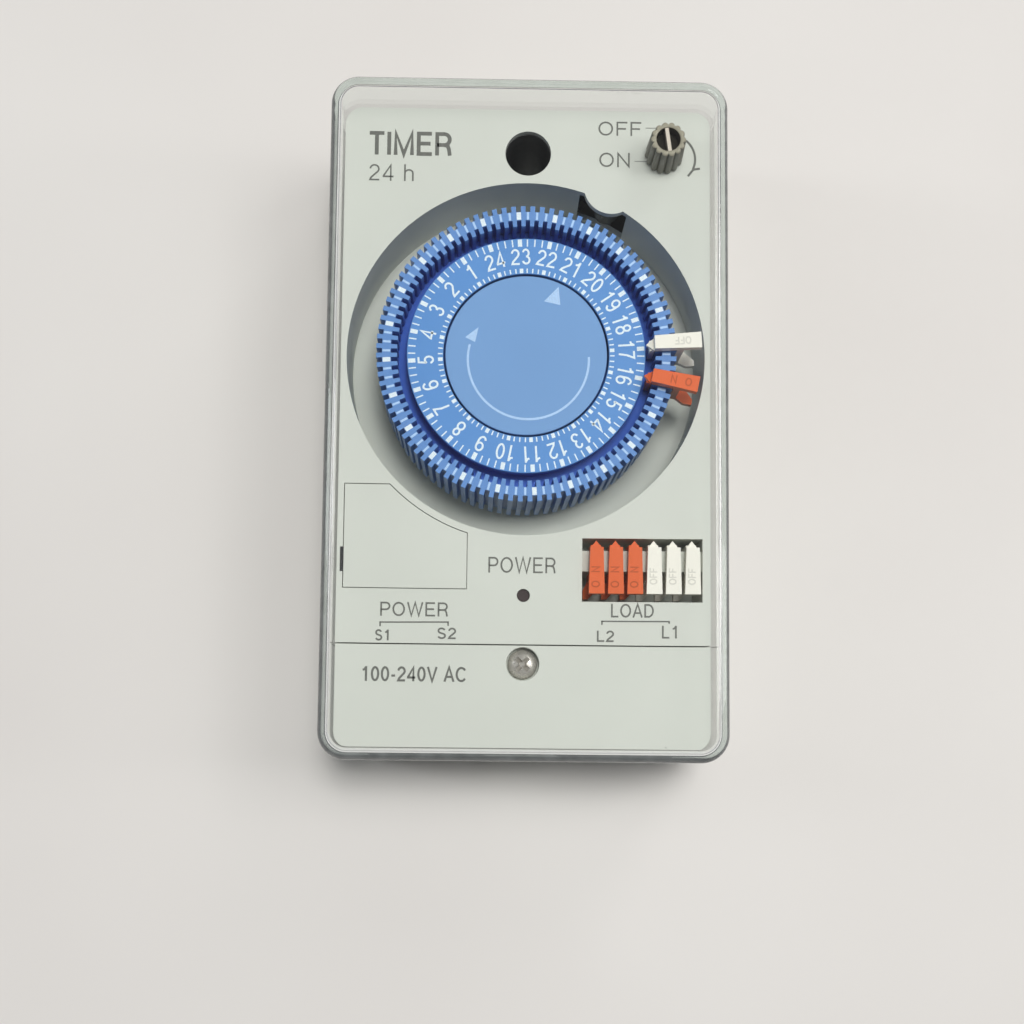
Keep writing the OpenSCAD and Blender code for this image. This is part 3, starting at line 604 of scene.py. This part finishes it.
def clear(name, tint, haze):
    """Clear moulded plastic. Light for the parts under it passes straight through.

    The haze is how much its surface scatters."""
    s = Shader(name)
    scuff = s.ramp(s.noise(260, 4, 0.7), 0.45, 0.8, 0.012, 0.05 + 0.3 * haze)
    tone = s.blend(s.ramp(s.noise(30), 0.3, 0.7), tint, shade(tint, 0.985))
    normal = s.bump(s.noise(35, 2), 0.08, 0.05)
    glass = s.principled(tone, scuff, normal, Transmission_Weight=1.0, IOR=1.49)
    grey = s.blend(s.ramp(s.noise(300), 0.3, 0.7), (0.62, 0.66, 0.66), (0.74, 0.78, 0.78))
    milky = s.principled(grey, scuff, normal)
    body = s.add("ShaderNodeMixShader")
    s.join(s.ramp(s.noise(420, 3), 0.3, 0.7, haze * 0.8, haze * 1.2), body.inputs["Fac"])
    s.join(glass, body.inputs[1])
    s.join(milky, body.inputs[2])
    passing = s.add("ShaderNodeBsdfTransparent")
    passing.inputs["Color"].default_value = (*shade(tint, 0.97 - 0.55 * haze), 1)
    path = s.add("ShaderNodeLightPath")
    lit = s.math("MAXIMUM", path.outputs["Is Shadow Ray"], path.outputs["Is Diffuse Ray"])
    out = s.add("ShaderNodeMixShader")
    s.join(lit, out.inputs["Fac"])
    s.join(body.outputs[0], out.inputs[1])
    s.join(passing.outputs[0], out.inputs[2])
    return s.finish(out.outputs[0])


PANEL = srgb(213, 216, 208)
HOUSING = srgb(188, 192, 184)
DRUM_BLUE = (0.135, 0.285, 0.62)
RING_BLUE = (0.12, 0.30, 0.66)
DISC_BLUE = (0.188, 0.358, 0.66)
# Painted shade of the rim's groove: the factors that darken its colour.
GROOVE_SHADE_TINT = (0.42, 0.5, 0.9)  # how much darker the rim's groove is than the rim
RED = (0.75, 0.142, 0.044)
WHITE = srgb(246, 243, 232)
# The knob's one plastic in two copies: a lighter one for its lit crown (painted light) and a darker
# one for its sides (painted shade).
KNOB_LIT = srgb(158, 153, 136)
KNOB_SHADED = srgb(108, 105, 92)
IVORY = srgb(232, 226, 205)

M = {
    "panel": moulded("panel_plastic", PANEL, rough=0.42, specks=0.8, vary=0.025),
    "housing": moulded("housing_plastic", HOUSING, rough=0.5, specks=0.6, vary=0.04, depth=0.02),
    "drum": moulded(
        "drum_plastic_groove_shade",
        DRUM_BLUE,
        rough=0.38,
        grain=2200,
        depth=0.006,
        # painted shade in the rim's groove
        groove=(WEB_IN, RIM_TOP - 3.5, RIM_TOP - 0.5),
    ),
    "ring": moulded("ring_plastic", RING_BLUE, rough=0.36, grain=3000, vary=0.04, depth=0.004),
    "disc": moulded("disc_plastic", DISC_BLUE, rough=0.45, grain=2600, vary=0.035, depth=0.008),
    "red": moulded("pin_red_plastic", RED, rough=0.4, grain=2500, vary=0.06, depth=0.008),
    "white": moulded("pin_white_plastic", WHITE, rough=0.38, grain=2500, vary=0.02, depth=0.006),
    # The knob's crown, sides and well: a lit copy as painted light, a shaded copy and a near-black
    # well as painted shade.
    "crown": moulded("knob_crown_painted_light", KNOB_LIT, rough=0.45, grain=2200, vary=0.06),
    "knob": moulded("knob_body_plastic", KNOB_SHADED, rough=0.45, grain=2200, vary=0.09),
    "well": moulded("knob_well_painted_shade", (0.03, 0.026, 0.02), rough=0.5, grain=2200, vary=0.2),
    "pointer": moulded("pointer_plastic", srgb(214, 204, 190), rough=0.4, grain=2500, vary=0.03),
    # Darker copies of the pins' plastic for their raised words: painted shade.
    "red_word_shade": moulded("pin_red_mark", shade(RED, 0.62), rough=0.5, grain=2500, vary=0.06),
    "white_word_shade": moulded("pin_white_mark", shade(WHITE, 0.78), rough=0.5, grain=2500, vary=0.03),
    "ivory": moulded("acetal", IVORY, rough=0.35, grain=1800, vary=0.03, depth=0.005),
    "black": moulded("black_plastic", (0.035, 0.035, 0.038), rough=0.42, vary=0.15),
    "crimson": moulded("button_plastic", (0.42, 0.03, 0.03), rough=0.35, vary=0.1),
    "epoxy": moulded("led_epoxy", (0.055, 0.04, 0.04), rough=0.3, grain=5000, vary=0.4),
    "sleeve": moulded("sleeve_film", (0.02, 0.02, 0.07), rough=0.22, vary=0.1, depth=0.004),
    "film": moulded("film_capacitor_case", (0.62, 0.40, 0.05), rough=0.3, vary=0.06),
    "cell": moulded("cell_wrap", (0.06, 0.22, 0.10), rough=0.25, vary=0.08, depth=0.004),
    "board": moulded("phenolic_board", (0.30, 0.19, 0.07), rough=0.5, grain=900, vary=0.12),
    "grey_ink": ink("grey_ink", srgb(104, 105, 100)),
    "thin_ink": ink("thin_ink", srgb(150, 152, 146)),
    "white_ink": ink("white_ink", srgb(222, 234, 246)),
    "pale_ink": ink("pale_ink", srgb(172, 202, 238)),
    "steel": metal("zinc_steel", (0.56, 0.57, 0.58), 0.32, (2600, 160, 160)),
    "nickel": metal("nickel_screw", (0.64, 0.61, 0.56), 0.26, (1500, 1500, 1500), share=0.55),
    "brass": metal("brass_part", (0.72, 0.52, 0.20), 0.28, (2200, 200, 200)),
    "clear": clear("cover_clear", (0.985, 0.99, 0.987), 0.0),
    "clear_edge": clear("cover_edge", (0.95, 0.96, 0.955), 0.22),
}


# ------------------------------------------------------------------ housing and panel


def shell_parts():
    refined("rear_housing", M["housing"], "housing", 0.3)
    refined("front_panel", M["panel"], "housing", 0.12)
    refined("terminal_cover", M["panel"], "terminal_lid", 0.15)
    refined("battery_lid", M["panel"], "battery_door", 0.12)


def well_sleeve():
    """Black liner of the deep well over the upper wall screw: painted shade in the well."""
    outer, inner = 4.24, 4.12
    low, high = 2.5, PANEL_TOP - 1.6
    profile = [(inner, low), (inner, high), (outer, high), (outer, low)]
    rings = [
        [
            (r * math.cos(2 * math.pi * i / 64), WELL_Y + r * math.sin(2 * math.pi * i / 64), z)
            for i in range(64)
        ]
        for r, z in profile
    ]
    verts, faces = loft(rings + [rings[0]])
    piece("well_sleeve", verts, faces, M["black"], "housing", "black_plastic")


def pry_notch_liner():
    """Black block on the floor of the notch for a fingernail at the battery lid's edge: painted
    shade in the notch.
    """
    gap, width = 0.05, 0.5
    x1 = LID_LOW.x - gap
    x0, y0, y1 = x1 - width, PRY_Y0 + gap, PRY_Y1 - gap
    floor_z = PANEL_TOP - PRY_DEPTH
    verts, faces = prism([(x0, y0), (x1, y0), (x1, y1), (x0, y1)], floor_z + 0.02, floor_z + 1.7)
    piece("pry_notch_liner", verts, faces, M["black"], "housing", "black_plastic")


def panel_prints():
    """Grey legends on the panel: generic words, terminal numbers and the knob's arrow."""
    z = PANEL_TOP
    thin = 0.26
    parts = [
        text_box("OFF", 13.0, 54.95, 21.1, 57.65, z),
        text_box("ON", 13.2, 48.9, 19.05, 51.65, z),
        text_box("POWER", -6.5, -27.5, 5.9, -24.6, z),
        text_box("POWER", -26.05, -35.6, -13.65, -33.05, z),
        line(-26.1, -36.75, -13.5, -36.6, thin, z),
        line(-25.97, -37.5, -25.97, -36.7, thin, z),
        line(-13.63, -37.3, -13.63, -36.6, thin, z),
        text_box("S1", -26.85, -40.05, -24.1, -38.1, z),
        text_box("S2", -15.6, -39.65, -12.15, -37.65, z),
        text_box("LOAD", 16.0, -35.4, 23.85, -32.95, z),
        line(14.25, -36.15, 26.75, -36.1, thin, z),
        line(14.38, -36.8, 14.38, -36.1, thin, z),
        line(26.62, -36.5, 26.62, -36.1, thin, z),
        text_box("L2", 13.45, -39.85, 16.6, -37.85, z),
        text_box("L1", 25.3, -39.15, 28.4, -36.85, z),
        text_box("TIMER", -29.6, 50.6, -14.3, 55.0, z, stroke=0.72),
        text_box("24 h", -29.6, 45.6, -21.2, 48.8, z),
    ]
    x, y, radius = 26.48, 50.56, 4.71
    parts.append(ribbon(arc(x, y, radius, radius, 50, -24, 24), 0.42, z))
    parts.append(ribbon([(32.1, 48.8), (30.85, 48.6), (29.85, 47.3)], 0.42, z, INK + 0.004))
    piece("panel_prints", *merge(parts), M["grey_ink"], "housing", "panel_plastic")
    ticks = [line(21.9, 56.5, 24.0, 56.5, 0.2, z), line(19.85, 50.05, 22.3, 50.05, 0.2, z)]
    piece("state_ticks", *merge(ticks), M["thin_ink"], "housing", "panel_plastic")
    rating = text_box("100-240V AC", -29.25, -47.4, -10.2, -44.75, z, stroke=0.4)
    piece("rating_print", *rating, M["grey_ink"], "terminal_lid", "panel_plastic")


# ------------------------------------------------------------------ clear cover


def clear_cover():
    """Thin box with rounded corners, open towards the housing, and a scuffed front edge."""
    half_w, half_h = (COVER_HIGH.x - COVER_LOW.x) / 2, (COVER_HIGH.y - COVER_LOW.y) / 2
    bottom, top = COVER_LOW.z, COVER_HIGH.z
    corner, edge, wall, front = 5.0, 2.0, 1.5, 1.8
    inner_edge = 0.9
    steps, fillet = 12, 7

    def ring(inset, radius, z):
        return [(x, y, z) for x, y in outline(half_w - inset, half_h - inset, radius, steps)]

    rings = [ring(0, corner, bottom), ring(0, corner, (bottom + top) / 2)]
    first_edge = len(rings)
    for i in range(fillet + 1):
        a = math.radians(90 * i / fillet)
        inset = edge * (1 - math.cos(a))
        rings.append(ring(inset, corner - inset, top - edge + edge * math.sin(a)))
    last_edge = len(rings) - 1
    inside = []
    for i in range(fillet, -1, -1):
        a = math.radians(90 * i / fillet)
        inset = wall + inner_edge * (1 - math.cos(a))
        inside.append(
            ring(inset, corner - inset, top - front - inner_edge + inner_edge * math.sin(a))
        )
    inside.append(ring(wall, corner - wall, (bottom + top) / 2))
    inside.append(ring(wall, corner - wall, bottom))
    count = len(rings[0])
    verts, faces = loft(rings, False, True)
    edge_faces = range(first_edge * count, last_edge * count)
    inner_verts, inner_faces = loft(inside, True, False)
    start = len(verts)
    verts += inner_verts
    faces += [tuple(start + i for i in f) for f in inner_faces]
    last = start + (len(inside) - 1) * count
    for i in range(count):
        j = (i + 1) % count
        faces.append((i, last + i, last + j, j))
    obj = piece(
        "clear_cover_shell",
        verts,
        faces,
        M["clear"],
        "cover",
        "clear_plastic",
        40,
        (M["clear_edge"],),
    )
    for polygon in obj.data.polygons:
        if polygon.index in edge_faces:
            polygon.material_index = 1
    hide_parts("clear_cover")


# ------------------------------------------------------------------ dial


def dial_parts():
    refined("dial_drum", M["drum"], "dial", 0.08, angle=40)
    refined("hour_ring", M["ring"], "dial", 0.15)
    refined("centre_disc", M["disc"], "housing", 0.2)


def dial_prints():
    """Quarter-hour marks on the rim and on both edges of the hour ring, and the hours."""
    quarters, full_hours, hours = [], [], []
    pitch = 360 / NOTCH_COUNT
    for i in range(NOTCH_COUNT):
        angle = FIRST_ANGLE + i * pitch
        full_hour = i % 4 == 0
        rim_w, outer_w, inner_w = (0.82, 0.78, 0.66) if full_hour else (0.4, 0.24, 0.24)
        rim_mark = radial_mark(WEB_IN + 0.1, WEB_OUT - 0.1, angle, rim_w, RIM_TOP)
        (full_hours if full_hour else quarters).append(rim_mark)
        hours.append(radial_mark(20.35, RING_R - 0.2, angle, outer_w, RING_TOP))
        hours.append(radial_mark(DISC_R + 0.5, DISC_R + 1.35, angle, inner_w, RING_TOP))
    digit_r, digit_h = 18.45, 3.0
    for hour in range(1, 25):
        angle = FIRST_ANGLE + (FIRST_HOUR - hour) * 15
        x, y = polar(digit_r, angle)
        hours.append(text_turned(str(hour), x, y, -angle, digit_h, RING_TOP, 0.36, squeeze=0.95))
    piece("rim_quarter_marks", *merge(quarters), M["pale_ink"], "dial", "dial_blue")
    piece("rim_hour_marks", *merge(full_hours), M["white_ink"], "dial", "dial_blue")
    piece("hour_numbers", *merge(hours), M["white_ink"], "dial", "hour_blue")


def disc_prints():
    """White pointer and the arrow for the way the dial turns."""
    z = DISC_TOP
    x, y = DIAL_X + 0.4, DIAL_Y - 0.8
    head = [(-8.8, 5.1), (-11.25, 3.2), (-9.4, 2.3)]
    pointer = [(3.14, 10.13), (6.16, 9.46), (5.81, 12.9)]
    parts = [
        ribbon(arc(x, y, 11.1, 11.1, 3, -194, 72), 0.42, z),
        prism([(DIAL_X + u, DIAL_Y + v) for u, v in head], z, z + 1.2 * INK),
        prism([(DIAL_X + u, DIAL_Y + v) for u, v in pointer], z, z + INK),
    ]
    piece("disc_prints", *merge(parts), M["pale_ink"], "housing", "disc_blue")


# ------------------------------------------------------------------ pins


DIAL_PIN_ANGLES = {"on": 101.2, "off": 86.2}  # clockwise from the timer's top


def pins():
    """The two pins on the dial and the six spare ones, each with its generic word, painted darker
    than the pin as painted shade of the raised word.
    """
    for kind, words, slot, word_shade in (
        ("on", "ON", "on_pin_red", "red_word_shade"),
        ("off", "OFF", "off_pin_white", "white_word_shade"),
    ):
        material = M["red"] if kind == "on" else M["white"]
        for name, body in [(f"{kind}_pin", f"{kind}_pin_body")] + [
            (f"spare_{kind}_pin_{i}", f"spare_{kind}_pin_{i}_body") for i in (1, 2, 3)
        ]:
            refined(name, material, body, 0.12)
            low, high = box_mm(name)
            if name.startswith("spare"):
                x, turn = (low.x + high.x) / 2, 90
                spots = [(x, low.y + up) for up in ((1.9, 4.6) if kind == "on" else (3.4,))]
            else:
                angle = DIAL_PIN_ANGLES[kind]
                turn = 270 - angle
                spots = [polar(r, angle) for r in ((29.8, 27.1) if kind == "on" else (28.3,))]
            texts, cap = (words, 1.5) if kind == "on" else ([words], 1.35)
            parts = [
                text_turned(text, px, py, turn, cap, high.z, 0.24, height=0.02)
                for text, (px, py) in zip(texts, spots)
            ]
            piece(name + "_word", *merge(parts), M[word_shade], body, slot)


# ------------------------------------------------------------------ manual knob


def manual_knob():
    """Fluted knob that narrows to a scalloped crown round a well; the crown is painted lighter as
    painted light, the fluted sides darker and the well near-black as painted shade.
    """
    flutes, per_flute = 14, 12
    steps = flutes * per_flute
    base_z, top_z = KNOB_LOW.z, KNOB_HIGH.z
    well_r, well_depth = 2.2, 3.2

    def ring(radius, depth, z):
        points = []
        for i in range(steps):
            a = 2 * math.pi * i / steps
            lobe = abs(math.cos(a * flutes / 2)) ** 0.7
            r = radius - depth * (1 - lobe)
            points.append((KNOB_X + r * math.cos(a), KNOB_Y + r * math.sin(a), z))
        return points

    rings = [
        ring(3.4, 0.5, base_z),
        ring(3.58, 0.6, base_z + 0.25),
        ring(3.3, 0.55, top_z - 0.75),
        ring(3.22, 0.47, top_z - 0.3),
        ring(3.06, 0.34, top_z - 0.06),
        ring(2.92, 0.24, top_z),
        ring(well_r + 0.12, 0, top_z),
        ring(well_r, 0, top_z - 0.12),
        ring(well_r - 0.02, 0, top_z - well_depth),
    ]
    crown_from, well_from = 3, 7
    obj = piece(
        "fluted_knob",
        *loft(rings, True, True),
        M["knob"],
        "knob",
        "knob_grey",
        50,
        (M["crown"], M["well"]),
    )
    # Crown faces take the painted-light copy, well faces the near-black painted shade.
    for polygon in obj.data.polygons:
        band = polygon.index // steps
        if crown_from <= band < well_from:
            polygon.material_index = 1
        elif band >= well_from and polygon.index != len(obj.data.polygons) - 2:
            polygon.material_index = 2
    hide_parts("manual_knob")
    refined("knob_pointer", M["pointer"], "knob", 0.08)


# ------------------------------------------------------------------ screws


def cross_recess(x, y, z, turn, reach, depth):
    """Tapered cross, as a cutter's (verts, faces)."""
    parts = []
    for k in (0, 90):
        rings = []
        c, s = math.cos(math.radians(turn + k)), math.sin(math.radians(turn + k))
        levels = ((z + 0.3, reach, 0.5), (z, reach, 0.45), (z - depth, reach * 0.3, 0.22))
        for level, half, thin in levels:
            corners = ((half, thin), (-half, thin), (-half, -thin), (half, -thin))
            rings.append([(x + c * u - s * v, y + s * u + c * v, level) for u, v in corners])
        parts.append(loft(list(reversed(rings)), True, True))
    return parts


def carved(obj, cutters):
    """Cuts each (verts, faces) out of a mesh object."""
    for verts, faces in cutters:
        mesh = bpy.data.meshes.new("cutter")
        mesh.from_pydata([Vector(v) * MM for v in verts], [], faces)
        tidy_normals(mesh, 30)
        cutter = link(bpy.data.objects.new("cutter", mesh))
        cut = obj.modifiers.new("cut", "BOOLEAN")
        cut.object = cutter
        cut.operation = "DIFFERENCE"
        cut.solver = "EXACT"
        bpy.context.view_layer.update()
        evaluated = obj.evaluated_get(bpy.context.evaluated_depsgraph_get())
        result = bpy.data.meshes.new_from_object(evaluated)
        obj.modifiers.remove(cut)
        obj.data = result
        bpy.data.objects.remove(cutter)
        bpy.data.meshes.remove(mesh)
    obj.data.shade_smooth()
    obj.data.set_sharp_from_angle(angle=math.radians(35))
    return obj


def cover_screw():
    """Pan-head screw with a tapered cross recess and a plain shank."""
    head_r, head_low, head_high = 2.7, 37.2, SCREW_HIGH.z
    side_high = head_low + 0.75
    crown_r, steps = 0.3, 7
    low, shank_r = SCREW_LOW.z, 1.3
    x = (SCREW_LOW.x + SCREW_HIGH.x) / 2
    profile = [
        (0.5, low),
        (shank_r, low + 1.1),
        (shank_r, head_low),
        (head_r - 0.15, head_low),
        (head_r, head_low + 0.2),
        (head_r, side_high),
    ]
    for i in range(1, steps):
        a = math.radians(90 * i / steps)
        r = crown_r + (head_r - crown_r) * math.cos(a)
        profile.append((r, side_high + (head_high - side_high) * math.sin(a)))
    profile.append((crown_r, head_high))
    verts, faces = lathe(profile, x, SCREW_Y, 72)
    obj = piece("pan_head_screw", verts, faces, M["nickel"], "terminal_lid", "nickel")
    carved(obj, cross_recess(x, SCREW_Y, head_high, 47, 1.75, 1.3))
    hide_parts("terminal_cover_screw")


# ------------------------------------------------------------------ inside parts


def inner_parts():
    """CAD nodes that keep their own shape, with their finish; the trip wheel takes the knob's
    darker grey as painted shade.
    """
    finishes = {
        "dial_gear": "ivory",
        "centre_post": "ivory",
        "knob_spindle": "ivory",
        # painted shade: the trip wheel gets the knob's shaded grey because it sits in shade
        "trip_wheel": "knob",
        "idler_gear": "ivory",
        "detent_spring": "steel",
        "switch_case": "black",
        "switch_plunger": "crimson",
        "gear_plate": "steel",
        "plate_pillars": "brass",
        "plate_screws": "nickel",
        "motor_case": "steel",
        "motor_pinion": "brass",
        "idler_arbor": "steel",
        "circuit_board": "board",
        "film_capacitor": "film",
        "smoothing_capacitor": "sleeve",
        "power_led": "epoxy",
        "backup_battery": "cell",
        "terminal_block_left": "black",
        "terminal_block_right": "black",
        "terminal_screws": "nickel",
        "housing_screws": "steel",
    }
    for terminal in ("s1", "s2", "l2", "l1"):
        finishes["terminal_plate_" + terminal] = "brass"
        finishes["wire_clamp_" + terminal] = "steel"
    for node, finish in finishes.items():
        NODES[node].data.materials.clear()
        NODES[node].data.materials.append(M[finish])


# ------------------------------------------------------------------ stage


def stage():
    """Pale floor under the timer."""
    low, _ = cad_bounds
    half, under = 3.0, 0.0001
    mesh = bpy.data.meshes.new("floor")
    z = low[2] - under
    corners = [(-half, -half, z), (half, -half, z), (half, half, z), (-half, half, z)]
    mesh.from_pydata(corners, [], [(0, 1, 2, 3)])
    s = Shader("floor_paper")
    tone = s.blend(s.ramp(s.noise(6, 3), 0.3, 0.7), srgb(214, 210, 207), srgb(222, 219, 216))
    mesh.materials.append(s.finish(s.principled(tone, s.ramp(s.noise(300), 0.3, 0.7, 0.6, 0.75))))
    link(bpy.data.objects.new("floor", mesh))


def area_light(name, place, size, watts, colour=(1, 1, 1), mirrored=True):
    """A soft light that faces the timer.

    One that isn't mirrored leaves no bright patch in the cover's front."""
    data = bpy.data.lights.new(name, "AREA")
    data.shape = "RECTANGLE"
    data.size, data.size_y = size
    data.energy = watts
    data.color = colour
    obj = link(bpy.data.objects.new(name, data))
    obj.location = place
    middle = Vector((0, 0, 0.03))
    obj.rotation_euler = (middle - Vector(place)).to_track_quat("-Z", "Y").to_euler()
    obj.visible_glossy = obj.visible_transmission = mirrored


def lights():
    area_light("ceiling", (0.06, 0.11, 1.03), (0.22, 0.22), 6.8, (1.0, 0.995, 0.97), mirrored=False)
    area_light("right_key", (0.44, 0.14, 0.9), (0.3, 0.3), 1.9, (1.0, 0.99, 0.97))
    area_light("window", (0.5, 0.82, 0.85), (0.35, 0.35), 1.3, (1.0, 0.99, 0.98))
    area_light("left_strip", (-0.75, 0.1, 0.55), (0.12, 0.9), 1.0, (0.95, 0.98, 1.0))
    area_light("right_strip", (0.8, 0.0, 0.6), (0.12, 0.9), 1.0)
    world = bpy.data.worlds.new("studio")
    bpy.context.scene.world = world
    world.use_nodes = True
    world.node_tree.nodes["Background"].inputs["Color"].default_value = (0.95, 0.98, 1.0, 1)
    world.node_tree.nodes["Background"].inputs["Strength"].default_value = 0.16
    bpy.context.scene.view_settings.view_transform = "Standard"


def camera():
    """Looks down on the timer from above its lower half."""
    data = bpy.data.cameras.new("camera")
    data.lens, data.sensor_width = 63.0, 36.0
    obj = link(bpy.data.objects.new("camera", data))
    right = Vector((0.999736, 0.010653, 0.020408))
    up = Vector((-0.012998, 0.992876, 0.118465))
    back = Vector((-0.0190, -0.118699, 0.992751))
    place = Vector((-0.0085, -0.0554, 0.3658))
    obj.matrix_world = Matrix.Translation(place) @ Matrix((right, up, back)).transposed().to_4x4()
    bpy.context.scene.camera = obj


camera()
lights()
stage()
shell_parts()
well_sleeve()
pry_notch_liner()
panel_prints()
clear_cover()
dial_parts()
dial_prints()
disc_prints()
pins()
manual_knob()
cover_screw()
inner_parts()
